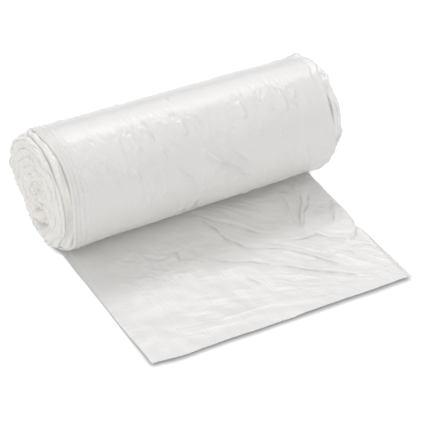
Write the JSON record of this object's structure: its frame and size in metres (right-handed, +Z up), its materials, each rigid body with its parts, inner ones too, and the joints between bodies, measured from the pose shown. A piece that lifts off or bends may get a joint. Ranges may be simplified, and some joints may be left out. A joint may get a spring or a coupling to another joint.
{
  "type": "bin bag roll",
  "caption": "Coreless roll of white film bin bags with the end of the first bag unrolled flat as a tongue.",
  "frame": {"origin": "on the resting face, under the roll's axis and at the middle of the web's width", "axes": "+Z up, +X along the roll towards its slimmer end, the tongue runs towards -Y"},
  "size_m": [0.1709, 0.1511, 0.0671],
  "materials": {
    "film": "satin translucent white film in many plies, finely creased"
  },
  "bodies": {
    "root": {"bag_roll": "film"}
  },
  "joints": []
}
